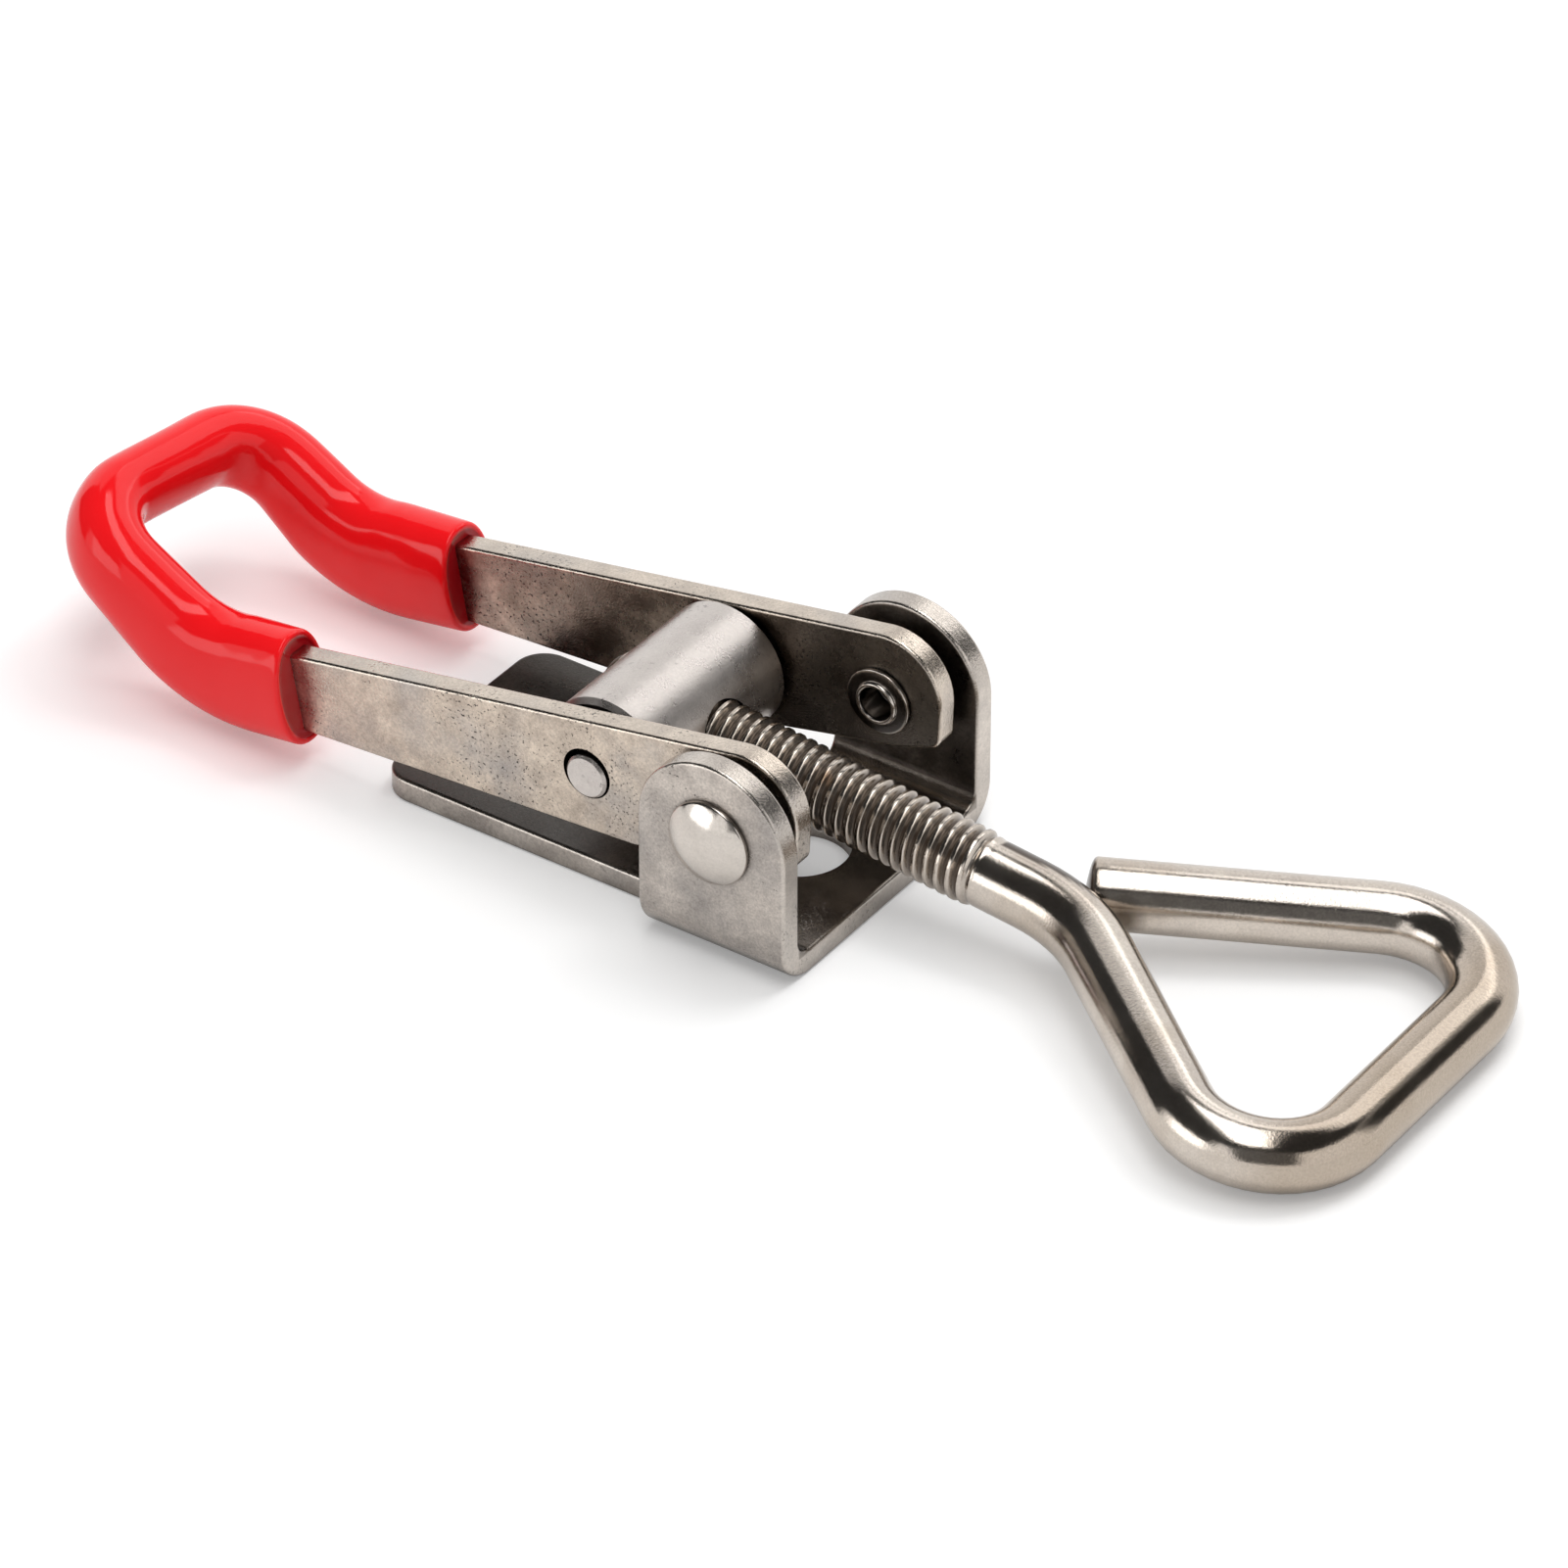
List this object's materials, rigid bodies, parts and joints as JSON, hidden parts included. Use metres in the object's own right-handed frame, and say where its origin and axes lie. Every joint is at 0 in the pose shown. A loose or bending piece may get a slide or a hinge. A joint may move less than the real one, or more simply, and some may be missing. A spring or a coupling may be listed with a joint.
{
  "type": "over centre toggle latch",
  "caption": "Over centre toggle latch: folded steel base, lever in a red plastic sleeve, barrel nut and a screw adjusted wire eye bolt with a three sided loop.",
  "frame": {"origin": "midway between the two fixing holes, on the underside of the base plate", "axes": "+X from the lever towards the loop, along the pull; +Y across the latch, along the pivot; +Z away from the mounting surface"},
  "size_m": [0.1185, 0.0355, 0.0175],
  "materials": {
    "steel_sheet": "tumbled, finely pitted",
    "steel_turned": "satin",
    "steel_wire": "polished",
    "red_sleeve": "gloss"
  },
  "bodies": {
    "base": {"base_bracket": "steel_sheet", "pivot_rivet_near": "steel_turned", "pivot_rivet_far": "steel_turned"},
    "handle": {"lever": "steel_sheet", "grip_sleeve": "red_sleeve"},
    "barrel": {"barrel_nut": "steel_turned"},
    "bolt": {"eye_bolt": "steel_wire"}
  },
  "joints": [
    {"name": "lever_swing", "type": "hinge", "parent": "base", "child": "handle", "pos_m": [0.0126, 0, 0.011], "axis": [0, 1, 0], "range_deg": [0, 140]},
    {"name": "barrel_turn", "type": "hinge", "parent": "handle", "child": "barrel", "pos_m": [-0.0008, 0, 0.00945], "axis": [0, 1, 0], "range_deg": [-140, 0]},
    {"name": "bolt_adjust", "type": "slide", "parent": "barrel", "child": "bolt", "axis": [0.9945, 0, -0.1044], "range_m": [-0.014, 0.002]}
  ],
  "couplings": [
    {"joint": "barrel_turn", "follows": "lever_swing", "ratio": -1}
  ]
}
